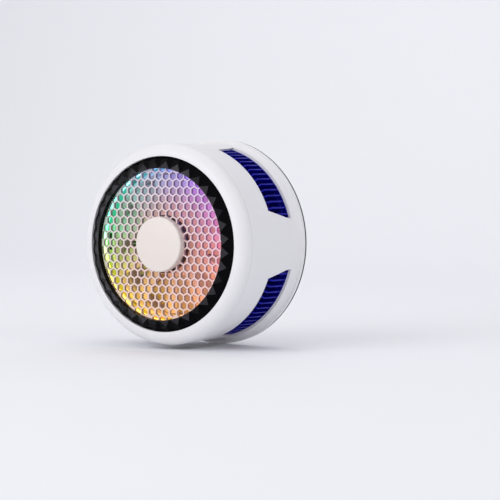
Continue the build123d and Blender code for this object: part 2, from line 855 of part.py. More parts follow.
# Front bezel: quarter round from the lip to the side wall, ledge for the facet ring, rear spigot
bezel_round = bezel_radius - lip_radius - lip_edge_width
with BuildPart() as front_bezel:
    with BuildSketch(turning_plane):
        with BuildLine():
            lip_outer = (lip_radius + lip_edge_width, lip_depth)
            round_end = (bezel_radius, lip_depth - bezel_round)
            round_middle = (
                lip_radius + lip_edge_width + bezel_round * math.sin(math.radians(post_angle)),
                lip_depth - bezel_round + bezel_round * math.cos(math.radians(post_angle)),
            )
            ThreePointArc(lip_outer, round_middle, round_end)
            Polyline(
                round_end,
                (bezel_radius, seam_depth),
                (spigot_radius, seam_depth),
                (spigot_radius, seam_depth - spigot_length),
                (spigot_radius - spigot_thickness, seam_depth - spigot_length),
                (spigot_radius - spigot_thickness, seam_depth),
                (lip_radius - bezel_ledge_width, seam_depth),
                (lip_radius - bezel_ledge_width, ledge_depth),
                (lip_radius, ledge_depth),
                (lip_radius, lip_depth),
                lip_outer,
            )
        make_face()
    revolve(axis=Axis.Y)
    with BuildSketch(across(seam_depth)):
        with PolarLocations(led_screw_circle_radius, led_screw_count, led_screw_angle):
            Circle(led_screw_radius)
    extrude(amount=led_screw_length - led_board_thickness + fit_clearance, mode=Mode.SUBTRACT)
finish(front_bezel, "front_bezel")

# Facet ring: a cone rising inward, cut by grooves that start at its inner edge and sink outward
ring_outer_radius = lip_radius - fit_clearance
ring_outer_depth = lip_depth - facet_edge_drop
facet_half_angle = math.pi / facet_count
cone_run = ring_outer_radius - facet_inner_radius
groove_fall = crown_depth - ring_outer_depth + facet_groove_drop
apex_drop = facet_groove_drop * (facet_apex_radius - facet_inner_radius) / cone_run
groove_spread = facet_apex_radius * math.sin(facet_half_angle) / apex_drop
with BuildPart() as groove:
    groove_half_width = flange_radius * math.tan(facet_half_angle)
    groove_start = Vector(facet_inner_radius, -crown_depth, 0)
    groove_way = Vector(cone_run, groove_fall, 0)
    with BuildSketch(Plane(origin=groove_start, x_dir=(0, 0, 1), z_dir=groove_way)):
        with BuildLine():
            Polyline(
                (0, 0),
                (groove_half_width, groove_half_width / groove_spread),
                (groove_half_width, groove_fall),
                (-groove_half_width, groove_fall),
                (-groove_half_width, groove_half_width / groove_spread),
                close=True,
            )
        make_face()
    extrude(amount=cone_run + groove_fall)

with BuildPart() as facet_ring:
    turn(
        [
            (facet_inner_radius, crown_depth),
            (ring_outer_radius, ring_outer_depth),
            (ring_outer_radius, ledge_depth),
            (grille_radius + fit_clearance, ledge_depth),
            (grille_radius + fit_clearance, grille_front_depth),
            (facet_inner_radius, grille_front_depth),
        ]
    )
    grooves = [groove.part.rotate(Axis.Y, index * 360 / facet_count) for index in range(facet_count)]
    add(grooves, mode=Mode.SUBTRACT)
finish(facet_ring, "facet_ring")

# Grille: a sheet of pointed-top hexagons in level rows, with a plain rim under the hub cap
row_pitch = hexagon_pitch * math.sin(math.pi / 3)
cell_radius = (hexagon_pitch - hexagon_web) / 2 / math.cos(math.pi / 6)
cell_keep_radius = cap_field_radius - cell_radius + hexagon_keep_margin
row_reach = math.ceil(grille_field_radius / row_pitch)
whole_cells = []
rim_cells = []
for row in range(-row_reach, row_reach + 1):
    shift = hexagon_pitch / 2 if row % 2 else 0
    for column in range(-row_reach - 1, row_reach + 2):
        place = (column * hexagon_pitch + shift, row * row_pitch)
        distance = math.hypot(place[0], place[1])
        if cap_field_radius + cell_radius < distance < grille_field_radius - cell_radius:
            whole_cells.append(place)
        elif cell_keep_radius < distance < grille_field_radius + hexagon_keep_margin:
            rim_cells.append(place)
with BuildSketch() as rim_openings:
    with Locations(*rim_cells):
        RegularPolygon(cell_radius, 6, rotation=90)
    Circle(grille_field_radius, mode=Mode.INTERSECT)
    Circle(cap_field_radius, mode=Mode.SUBTRACT)
with BuildPart() as hex_grille:
    with BuildSketch(across(grille_depth)):
        Circle(grille_radius)
        Circle(grille_opening_radius, mode=Mode.SUBTRACT)
        with Locations(*whole_cells):
            RegularPolygon(cell_radius, 6, rotation=90, mode=Mode.SUBTRACT)
        add(rim_openings.sketch, mode=Mode.SUBTRACT)
    extrude(amount=grille_thickness)
finish(hex_grille, "hex_grille")

# Ring board with its lamps and screws, and the light guide between the lamps and the grille
with BuildPart() as led_board:
    ring(
        led_board_inner_radius,
        spigot_radius - spigot_thickness - led_board_margin,
        led_board_depth,
        led_board_thickness,
    )
    with BuildSketch(across(led_board_depth)):
        with PolarLocations(led_screw_circle_radius, led_screw_count, led_screw_angle):
            Circle(led_screw_radius)
    extrude(amount=led_board_thickness, mode=Mode.SUBTRACT)
finish(led_board, "led_board")

with BuildPart() as leds:
    with BuildSketch(across(seam_depth)):
        with PolarLocations(led_circle_radius, led_count):
            Rectangle(led_side, led_side)
    extrude(amount=led_height)
finish(leds, "leds")

with BuildPart() as led_screws:
    for depth, radius, length in (
        (led_board_depth, led_screw_radius, led_screw_length),
        (led_board_depth - led_screw_head_height, led_screw_head_radius, led_screw_head_height),
    ):
        with BuildSketch(across(depth)):
            with PolarLocations(led_screw_circle_radius, led_screw_count, led_screw_angle):
                Circle(radius)
        extrude(amount=length)
finish(led_screws, "led_screws")

with BuildPart() as light_guide:
    ring(guide_inner_radius, grille_radius, guide_depth, grille_depth - guide_depth)
finish(light_guide, "light_guide")

# Collar behind the grille, and the hub cap over its boss, with the grille's rim held between them
with BuildPart() as cap_collar:
    ring(0, collar_radius, grille_depth - collar_thickness, collar_thickness)
    ring(0, collar_boss_radius, grille_depth, cap_depth - cap_wall - grille_depth)
finish(cap_collar, "cap_collar")

with BuildPart() as hub_cap:
    turn(
        [
            (0, cap_depth - cap_wall),
            (collar_boss_radius, cap_depth - cap_wall),
            (collar_boss_radius, grille_front_depth),
            (cap_radius, grille_front_depth),
            (cap_radius, cap_depth),
            (0, cap_depth),
        ]
    )
    fillet(hub_cap.edges().group_by(Axis.Y)[0].sort_by(SortBy.RADIUS)[-1], radius=cap_edge_round)
finish(hub_cap, "hub_cap")
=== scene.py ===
import math

import bmesh
import bpy
from mathutils import Matrix, Vector


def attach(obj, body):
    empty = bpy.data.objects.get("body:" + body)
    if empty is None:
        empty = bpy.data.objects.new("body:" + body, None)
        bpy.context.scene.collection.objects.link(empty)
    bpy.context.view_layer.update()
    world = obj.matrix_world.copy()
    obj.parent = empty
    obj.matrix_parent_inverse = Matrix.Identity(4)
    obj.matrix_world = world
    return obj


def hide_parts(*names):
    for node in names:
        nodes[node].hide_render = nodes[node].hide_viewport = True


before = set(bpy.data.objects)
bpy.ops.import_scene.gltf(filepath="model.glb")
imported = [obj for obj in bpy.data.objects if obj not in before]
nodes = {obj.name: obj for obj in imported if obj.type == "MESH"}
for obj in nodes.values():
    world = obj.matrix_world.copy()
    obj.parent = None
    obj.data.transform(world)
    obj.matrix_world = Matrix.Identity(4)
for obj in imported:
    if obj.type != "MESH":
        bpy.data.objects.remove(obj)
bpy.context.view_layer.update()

# Sizes in millimetres, the solids' own where both have them. Depth runs forward, towards -Y, from the face
# that lies on the phone. A name that ends in round is the radius of a rounded corner.
around = 192
fine_round = 0.05
edge_round = 0.1
quarter_turn = [math.pi / 2 * step / 14 for step in range(15)]
bore_radius = 28.2
seam_depth = 27.5
pad_thickness = 0.8

# Front bezel
bezel_radius = 30.0
bezel_inset = 0.12
lip_radius = 26.05
lip_width = 0.35
lip_depth = 31.3
lip_round = 0.15
ledge_radius = 24.9
ledge_depth = 28.8
spigot_inner_radius = 27.75
spigot_outer_radius = 28.5
spigot_rear_depth = 25.75
spigot_relief = 0.05
seam_gap = 0.02

# Housing
flange_radius = 31.4
flange_round = 0.55
front_round = 0.12
waist_radius = 29.5
waist_depth = 7.6
rim_depth = 2.3
cover_radius = 29.6
cover_front_depth = 2.35
rib_radius = 27.0
rib_rear_depth = 16.45
rib_front_depth = 17.2
seat_radius = 28.6
seat_depth = 25.6
window_rear_depth = 5.4
window_front_depth = 16.2
window_half_width = 14.9
window_narrowing = 2.2
window_cut_radii = (26.4, 34.0)
sill_depth = 4.95
sill_edge_radius = 30.0
sill_fall = 0.05
inlet_depth = 21.0
inlet_half_span = 2.87
inlet_end_radius = 1.8
inlet_heights = (-32.0, -26.5)
button_depth = 21.4
button_hole_radius = 2.42
button_hole_length = 6.0

# Facet ring
facet_count = 36
facet_inner_radius = 22.5
facet_apex_radius = 24.6
facet_outer_radius = 25.95
facet_neck_radius = 24.7
facet_rim_drop = 0.3
crown_depth = 32.7
groove_sink = 0.6

# Grille and hub cap. A cell is cut if its centre lies no farther than the two reaches say, under the cap's
# edge or past the field's.
grille_front_depth = 30.8
grille_thickness = 1.0
grille_radius = 24.6
grille_field_radius = 22.55
grille_cap_radius = 8.0
grille_opening_radius = 7.3
cell_pitch = 2.59
cell_rows = 23
web_width = 0.48
reach_under_cap = 0.87
reach_past_field = 0.35
cap_radius = 8.2
cap_inner_radius = 7.0
cap_recess_depth = 31.9
cap_round = 0.45
cap_depth = 33.0

# Heatsink
fin_count = 90
fin_thickness = 0.5
fin_edge = 0.08
fin_inner_radius = 14.5
fin_slope_radius = 17.5
fin_shoulder_radius = 24.6
fin_rear_depth = 5.8
fin_front_depth = 15.0
hidden_fin_radius = 28.1
hidden_fin_corner_depth = 12.6
window_fin_radius = 28.9
window_fin_corner_depth = 12.2
fin_toe_radius = 28.0
fin_toe_depth = 5.1
foot_inner_radius = 27.7
foot_outer_radius = 28.95
foot_rear_depth = 5.0
foot_front_depth = 5.3
base_radius = 27.9
base_rear_depth = 5.6
base_front_depth = 6.2
core_radius = 22.5
core_front_depth = 7.3
core_round = 0.15
boss_radius = 9.0
boss_front_depth = 9.5
boss_round = 0.2
post_radius = 1.9
post_circle_radius = 25.0
post_rear_depth = 3.55

# Impeller
hub_radius = 9.6
hub_inner_radius = 8.9
hub_rear_depth = 19.8
hub_web_depth = 25.1
hub_front_depth = 26.1
hub_round = 0.6
hub_boss_radius = 1.7
hub_boss_depth = 24.35
blade_count = 11
blade_start_radius = 9.2
blade_tip_radius = 20.8
twist_start_radius = 8.2
twist_end_radius = 21.4
blade_chords = (8.6, 10.2)
blade_pitches = (50, 34)
blade_camber_share = 0.12
blade_half_thickness = 0.4
blade_edge = 0.04
blade_rear_depth = 19.0
blade_middle_depth = 22.3
blade_front_depth = 25.6

# Contact pad
pad_inner_radius = 22.1
pad_inset = 0.1
pad_front_inset = 0.2
pad_bulge = 0.3
pad_bulge_round = 0.2


# Nodes


def node(tree, kind, links=None, operation=None, **settings):
    """A node with its links and set values, each named by its socket or given by its number."""
    made_node = tree.nodes.new(kind)
    if operation:
        made_node.operation = operation
    for key, value in settings.items():
        setattr(made_node, key, value)
    for key, value in (links or {}).items():
        if isinstance(value, bpy.types.NodeSocket):
            tree.links.new(value, made_node.inputs[key])
        else:
            made_node.inputs[key].default_value = value
    return made_node


def mm(size):
    """A size in millimetres, as the metres that meshes and nodes take."""
    return size / 1000


# Colours and finishes

cloud_scale = 90.0
grain_height_share = 0.1
roughness_spread = 0.12


def tone(red, green, blue):
    """A colour given as it shows on screen, 0 to 255, as the light values that materials take."""
    steps = []
    for value in (red, green, blue):
        value /= 255
        steps.append(value / 12.92 if value <= 0.04045 else ((value + 0.055) / 1.055) ** 2.4)
    return (*steps, 1.0)


def shade(name, colour, roughness, metallic=0.0, grain=0.0, grain_size=0.25, mottle=0.05, **sockets):
    """A finish: its colour wanders a little, and its roughness and its surface have a fine grain."""
    material = bpy.data.materials.new(name)
    material.use_nodes = True
    tree = material.node_tree
    skin = tree.nodes["Principled BSDF"]
    place = node(tree, "ShaderNodeTexCoord").outputs["Object"]
    cloud = node(tree, "ShaderNodeTexNoise", {"Vector": place, "Scale": cloud_scale, "Detail": 4.0})
    tint = node(tree, "ShaderNodeValToRGB", {"Fac": cloud.outputs["Fac"]})
    darker, full = tint.color_ramp.elements
    darker.color = [part * (1 - mottle) for part in colour[:3]] + [1]
    full.color = colour
    darker.position = 0.3
    full.position = 0.7
    tree.links.new(tint.outputs["Color"], skin.inputs["Base Color"])
    speck = node(tree, "ShaderNodeTexNoise", {"Vector": place, "Scale": 1000.0 / grain_size, "Detail": 2.0})
    highest = min(1.0, roughness * (1 + roughness_spread))
    limits = {"To Min": roughness * (1 - roughness_spread), "To Max": highest}
    spread = node(tree, "ShaderNodeMapRange", {"Value": speck.outputs["Fac"], **limits})
    tree.links.new(spread.outputs["Result"], skin.inputs["Roughness"])
    if grain:
        rise = {"Strength": grain, "Distance": mm(grain_size * grain_height_share)}
        bump = node(tree, "ShaderNodeBump", {"Height": speck.outputs["Fac"], **rise})
        tree.links.new(bump.outputs["Normal"], skin.inputs["Normal"])
    skin.inputs["Metallic"].default_value = metallic
    for socket, value in sockets.items():
        skin.inputs[socket.replace("_", " ")].default_value = value
    return material


# The lamps' colours by shares of the clock, from twelve o'clock
lamp_colours = (
    (0.000, (0.16, 0.26, 0.78)),
    (0.075, (0.24, 0.08, 0.95)),
    (0.160, (0.55, 0.08, 0.90)),
    (0.240, (0.95, 0.12, 0.48)),
    (0.320, (1.00, 0.24, 0.16)),
    (0.410, (1.00, 0.36, 0.11)),
    (0.500, (1.00, 0.46, 0.05)),
    (0.580, (1.00, 0.52, 0.03)),
    (0.650, (0.85, 0.55, 0.03)),
    (0.710, (0.45, 0.62, 0.06)),
    (0.780, (0.04, 0.62, 0.25)),
    (0.870, (0.06, 0.48, 0.40)),
    (0.940, (0.12, 0.34, 0.55)),
    (1.000, (0.16, 0.26, 0.78)),
)


def clock_colour(tree):
    """Nodes that give the lamps' colour for a place's direction from the fan's axis."""
    place = node(tree, "ShaderNodeTexCoord").outputs["Object"]
    split = node(tree, "ShaderNodeSeparateXYZ", {"Vector": place})
    angle = node(tree, "ShaderNodeMath", {0: split.outputs["X"], 1: split.outputs["Z"]}, "ARCTAN2")
    turn = node(tree, "ShaderNodeMath", {0: angle.outputs[0], 1: 2 * math.pi}, "DIVIDE")
    wrap = node(tree, "ShaderNodeMath", {0: turn.outputs[0], 1: 1.0, 2: 0.0}, "WRAP")
    ramp = node(tree, "ShaderNodeValToRGB", {"Fac": wrap.outputs[0]})
    stops = ramp.color_ramp.elements
    while len(stops) < len(lamp_colours):
        stops.new(0.5)
    for stop, (share, colour) in zip(stops, lamp_colours):
        stop.position = share
        stop.color = (*colour, 1)
    return ramp.outputs["Color"]


def axis_distance(tree):
    """Nodes that give a place's distance from the fan's axis."""
    place = node(tree, "ShaderNodeTexCoord").outputs["Object"]
    flat = node(tree, "ShaderNodeVectorMath", {0: place, 1: (1, 0, 1)}, "MULTIPLY")
    return node(tree, "ShaderNodeVectorMath", {0: flat.outputs["Vector"]}, "LENGTH").outputs["Value"]


def lamp_glow_and_painted_light(material, strength, pale=None, inner=9.0, outer=24.5):
    """The finish also gives off the lamps' colour, and towards the inner radius the pale one. On the light
    guide and the lamps this is their own light; on every other finish it is painted lamp light.
    """
    tree = material.node_tree
    skin = tree.nodes["Principled BSDF"]
    colour = clock_colour(tree)
    if pale:
        limits = {"From Min": mm(inner), "From Max": mm(outer)}
        share = node(tree, "ShaderNodeMapRange", {"Value": axis_distance(tree), **limits})
        mixed = {0: share.outputs["Result"], 6: pale, 7: colour}
        colour = node(tree, "ShaderNodeMix", mixed, data_type="RGBA").outputs[2]
    tree.links.new(colour, skin.inputs["Emission Color"])
    skin.inputs["Emission Strength"].default_value = strength
    return material


def only_within(material, inner, outer, rear=None, over=2.0):
    """Fades the painted lamp light out between two radii and, where a rear depth is given, over a length in
    front of it.
    """
    tree = material.node_tree
    strength = tree.nodes["Principled BSDF"].inputs["Emission Strength"]
    limits = {"From Min": mm(inner), "From Max": mm(outer), "To Min": strength.default_value, "To Max": 0.0}
    left = node(tree, "ShaderNodeMapRange", {"Value": axis_distance(tree), **limits}).outputs["Result"]
    if rear is not None:
        place = node(tree, "ShaderNodeTexCoord").outputs["Object"]
        split = node(tree, "ShaderNodeSeparateXYZ", {"Vector": place})
        limits = {"From Min": -mm(rear + over), "From Max": -mm(rear), "To Min": 1.0, "To Max": 0.0}
        front = node(tree, "ShaderNodeMapRange", {"Value": split.outputs["Y"], **limits})
        left = node(tree, "ShaderNodeMath", {0: left, 1: front.outputs["Result"]}, "MULTIPLY").outputs[0]
    tree.links.new(left, strength)
    return material


case_tone = tone(232, 231, 234)
# The warm colour of the painted lamp light towards the fan's middle
painted_lamp_light_tone = tone(208, 146, 122)
board_tone = tone(24, 74, 46)

shell_white = shade("Front and rear, satin white", case_tone, 0.42, grain=0.10, mottle=0.02)
# The case white again, with painted lamp light on the wall's inner face towards the front; that face is no
# lamp
side_white_painted_lamp_light = shade("Side wall, satin white, painted lamp light", case_tone, 0.42, grain=0.10, mottle=0.02)
lamp_glow_and_painted_light(side_white_painted_lamp_light, 0.5, painted_lamp_light_tone)
only_within(side_white_painted_lamp_light, inner=28.3, outer=28.6, rear=16.5)
# The grille's white web carries painted lamp light: the lamps' colours at the rim and a warm tone towards the
# cap
grille_white = shade("Grille, white, painted lamp light", tone(204, 194, 198), 0.38, grain=0.08, mottle=0.02)
lamp_glow_and_painted_light(grille_white, 0.32, tone(205, 120, 92))
# The cells' walls are painted greyer as the shade inside the cells, with a faint painted lamp light
cell_wall_painted_shade = lamp_glow_and_painted_light(shade("Grille, cell walls, painted shade", tone(150, 140, 146), 0.5, grain=0.1), 0.03)
cap_white = shade("Hub cap, warm white", tone(230, 221, 215), 0.4, grain=0.08, mottle=0.02)
facet_black = shade(
    "Facets, polished black", tone(3, 3, 5), 0.12, grain=0.02, mottle=0.2, Specular_IOR_Level=0.05
)
# The ring is polished black; these two greys are painted light and painted shade on its triangles
facet_painted_light = shade("Facets, lit", tone(58, 56, 62), 0.2, grain=0.05, mottle=0.6, Specular_IOR_Level=0.12)
facet_painted_shade = shade("Facets, painted shade", tone(30, 29, 34), 0.2, grain=0.05, mottle=0.6, Specular_IOR_Level=0.08)
# Blue anodised fins; within the lamp ring they also carry painted lamp light, though they are no lamp
fin_blue_painted_lamp_light = shade("Fins, blue anodised", tone(12, 14, 165), 0.3, metallic=0.6, grain=0.15, mottle=0.15)
lamp_glow_and_painted_light(fin_blue_painted_lamp_light, 0.6, painted_lamp_light_tone)
only_within(fin_blue_painted_lamp_light, inner=20.5, outer=24.5)
# Milky impeller plastic with painted lamp light in the lamps' colours, set by each place's clock angle
blade_milk_painted_lamp_light = shade("Blades, milky", tone(140, 134, 136), 0.35, grain=0.05, mottle=0.04)
lamp_glow_and_painted_light(blade_milk_painted_lamp_light, 0.62, painted_lamp_light_tone)
lamp_guide = lamp_glow_and_painted_light(shade("Light guide, frosted", tone(235, 235, 240), 0.5), 5.0)
lamp_cell = lamp_glow_and_painted_light(shade("Lamps", tone(235, 235, 225), 0.3), 4.0)
pad_black = shade("Contact pad, soft black", tone(34, 34, 37), 0.75, grain=0.35, grain_size=0.4, mottle=0.12)
# Dark plastic; on the cap collar it is painted shade beside the cap
dark_plastic_and_painted_shade = shade("Dark plastic", tone(46, 42, 44), 0.5, grain=0.12, mottle=0.1)
# The fan frame's pale plastic carries painted lamp light on its front part, though it is no lamp
frame_plastic_painted_lamp_light = shade("Fan frame, pale plastic", tone(165, 160, 163), 0.5, grain=0.12, mottle=0.05)
lamp_glow_and_painted_light(frame_plastic_painted_lamp_light, 0.56, painted_lamp_light_tone)
only_within(frame_plastic_painted_lamp_light, inner=30.0, outer=31.0, rear=21.5)
board_green = shade("Circuit board", board_tone, 0.32, grain=0.08, mottle=0.2)
# Painted lamp light on the circuit board in front of a depth of 19 mm; the board is no lamp
board_lit = lamp_glow_and_painted_light(shade("Circuit board, lit", board_tone, 0.32, grain=0.08, mottle=0.2), 0.8)
only_within(board_lit, inner=30.0, outer=31.0, rear=19.0, over=0.2)
screw_zinc = shade("Screws, zinc", tone(176, 178, 184), 0.3, metallic=1.0, grain=0.1, mottle=0.1)
brass = shade("Bearing brass", tone(196, 160, 92), 0.28, metallic=1.0, grain=0.1, mottle=0.1)
slide_white = shade("Sliding plastic", tone(226, 222, 210), 0.4, grain=0.05)
core_steel = shade("Pressed steel", tone(140, 142, 148), 0.35, metallic=1.0, grain=0.15, mottle=0.12)
copper = shade(
    "Copper winding", tone(190, 106, 62), 0.3, metallic=1.0, grain=0.5, grain_size=0.2, mottle=0.2
)
shaft_steel = shade("Ground steel", tone(192, 193, 198), 0.16, metallic=1.0, grain=0.05)
bonded_grey = shade("Bonded magnet", tone(52, 52, 55), 0.55, grain=0.2, mottle=0.1)
nickel = shade("Nickel plate", tone(186, 188, 192), 0.18, metallic=1.0, grain=0.04)
ceramic = shade("Ceramic plate", tone(232, 231, 226), 0.35, grain=0.1)
foam = shade("Foam ring", tone(58, 58, 62), 0.9, grain=0.7, grain_size=0.5, mottle=0.2)
plate_metal = shade("Cold plate, brushed", tone(205, 207, 212), 0.28, metallic=1.0, grain=0.12, mottle=0.04)


# Meshes


def settle(mesh, angle=32):
    """Smooth faces, with sharp edges kept where a form turns by more than the angle."""
    mesh.shade_smooth()
    mesh.set_sharp_from_angle(angle=math.radians(angle))


def made(name, bm, *finishes, angle=32):
    """The object for a finished set of faces."""
    mesh = bpy.data.meshes.new(name)
    bmesh.ops.recalc_face_normals(bm, faces=bm.faces)
    bm.to_mesh(mesh)
    bm.free()
    for finish in finishes:
        mesh.materials.append(finish)
    settle(mesh, angle)
    piece = bpy.data.objects.new(name, mesh)
    bpy.context.collection.objects.link(piece)
    return piece


def spot(radius, depth, angle):
    """A place in metres from a radius, a depth and a clock angle in radians."""
    return mm(Vector((radius * math.sin(angle), -depth, radius * math.cos(angle))))


def prism(bm, sections):
    """A closed form through two or more sections that have as many corners each."""
    rings = [[bm.verts.new(mm(Vector(place))) for place in section] for section in sections]
    bm.faces.new(rings[0])
    bm.faces.new(rings[-1])
    for first, second in zip(rings, rings[1:]):
        for k in range(len(first)):
            n = (k + 1) % len(first)
            bm.faces.new((first[k], first[n], second[n], second[k]))


def soften(outline, radius, steps=3):
    """The outline with its corners rounded. A corner is (radius, depth) or (radius, depth, own round)."""
    nearly_straight = math.radians(85)
    longest_share = 0.45
    done = []
    for index, corner in enumerate(outline):
        here = Vector(corner[:2])
        own = corner[2] if len(corner) > 2 else radius
        before = Vector(outline[index - 1][:2]) - here
        after = Vector(outline[(index + 1) % len(outline)][:2]) - here
        half = before.angle(after) / 2
        if own <= 0 or here.x == 0 or half > nearly_straight:
            done.append(tuple(here))
            continue
        reach = min(own / math.tan(half), before.length * longest_share, after.length * longest_share)
        own = reach * math.tan(half)
        middle = here + (before.normalized() + after.normalized()).normalized() * (own / math.sin(half))
        start = here + before.normalized() * reach - middle
        end = here + after.normalized() * reach - middle
        sweep = start.angle_signed(end)
        for step in range(steps + 1):
            turn = -sweep * step / steps
            c, s = math.cos(turn), math.sin(turn)
            done.append((middle.x + start.x * c - start.y * s, middle.y + start.x * s + start.y * c))
    return done


def turned(name, outline, finish, corner_round, steps=around):
    """A closed outline of (radius, depth) points, its corners rounded, turned about the fan's axis."""
    bm = bmesh.new()
    rings = []
    for radius, depth in soften(outline, corner_round):
        count = 1 if radius < 1e-6 else steps
        rings.append([bm.verts.new(spot(radius, depth, 2 * math.pi * k / steps)) for k in range(count)])
    for index, ring in enumerate(rings):
        other = rings[(index + 1) % len(rings)]
        if len(ring) == 1 and len(other) == 1:
            continue
        for k in range(steps):
            n = (k + 1) % steps
            if len(ring) == 1:
                bm.faces.new((ring[0], other[k], other[n]))
            elif len(other) == 1:
                bm.faces.new((ring[k], other[0], ring[n]))
            else:
                bm.faces.new((ring[k], other[k], other[n], ring[n]))
    return made(name, bm, finish)


def freeze(piece):
    """Apply the piece's modifiers and leave a plain mesh."""
    graph = bpy.context.evaluated_depsgraph_get()
    graph.update()
    mesh = bpy.data.meshes.new_from_object(piece.evaluated_get(graph), depsgraph=graph)
    piece.modifiers.clear()
    old = piece.data
    piece.data = mesh
    bpy.data.meshes.remove(old)
    mesh.name = piece.name


def bevel(piece, width, segments, angle):
    """Round the piece's edges that turn by more than the angle, by a width in millimetres."""
    edge = piece.modifiers.new("Edges", "BEVEL")
    edge.width = mm(width)
    edge.segments = segments
    edge.limit_method = "ANGLE"
    edge.angle_limit = math.radians(angle)
    edge.use_clamp_overlap = True
    edge.miter_outer = "MITER_ARC"


# Geometry Nodes


def new_tree(name, sizes):
    """An empty geometry tree with a geometry in and out, a finish, and named sizes."""
    tree = bpy.data.node_groups.new(name, "GeometryNodeTree")
    tree.interface.new_socket("Geometry", in_out="INPUT", socket_type="NodeSocketGeometry")
    for label, kind in sizes.items():
        tree.interface.new_socket(label, in_out="INPUT", socket_type=kind)
    tree.interface.new_socket("Finish", in_out="INPUT", socket_type="NodeSocketMaterial")
    tree.interface.new_socket("Geometry", in_out="OUTPUT", socket_type="NodeSocketGeometry")
    return tree, tree.nodes.new("NodeGroupInput").outputs, tree.nodes.new("NodeGroupOutput").inputs


def run(piece, tree, finish, sizes):
    """Run a tree on the piece and keep its mesh."""
    modifier = piece.modifiers.new(tree.name, "NODES")
    modifier.node_group = tree
    named = {item.name: item.identifier for item in tree.interface.items_tree if item.in_out == "INPUT"}
    for label, value in {**sizes, "Finish": finish}.items():
        modifier[named[label]] = value
    freeze(piece)
    settle(piece.data)
    return piece


def finish_tree(tree, shape, finish, out):
    """The last step of a tree: its shape gets the finish."""
    dressed = node(tree, "GeometryNodeSetMaterial", {"Geometry": shape, "Material": finish})
    tree.links.new(dressed.outputs[0], out[0])
    return tree


def ring_tree():
    """Copies of one form round the fan's axis, where their angle from the nearest window allows them."""
    kinds = {
        "Copies": "NodeSocketInt",
        "Start angle": "NodeSocketFloat",
        "From window": "NodeSocketFloat",
        "To window": "NodeSocketFloat",
    }
    tree, given, out = new_tree("Round the axis", kinds)

    def value(operation, first, second=0.0):
        return node(tree, "ShaderNodeMath", {0: first, 1: second}, operation).outputs[0]

    points = node(tree, "GeometryNodePoints", {"Count": given["Copies"]})
    number = node(tree, "GeometryNodeInputIndex").outputs[0]
    angle = value("MULTIPLY", value("DIVIDE", number, given["Copies"]), 2 * math.pi)
    angle = value("ADD", angle, given["Start angle"])
    turn = node(tree, "ShaderNodeCombineXYZ", {"Y": angle})
    euler = node(tree, "FunctionNodeEulerToRotation", {0: turn.outputs[0]})
    off = value("SUBTRACT", value("FLOORED_MODULO", angle, math.pi / 2), math.pi / 4)
    away = value("ABSOLUTE", off)
    past = value("GREATER_THAN", away, given["From window"])
    before = value("LESS_THAN", away, given["To window"])
    choice = {
        "Points": points.outputs[0],
        "Selection": value("MULTIPLY", past, before),
        "Instance": given["Geometry"],
        "Rotation": euler.outputs[0],
    }
    copies = node(tree, "GeometryNodeInstanceOnPoints", choice)
    real = node(tree, "GeometryNodeRealizeInstances", {"Geometry": copies.outputs[0]})
    merged = node(tree, "GeometryNodeMergeByDistance", {"Geometry": real.outputs[0], "Distance": 1e-6})
    return finish_tree(tree, merged.outputs[0], given["Finish"], out)


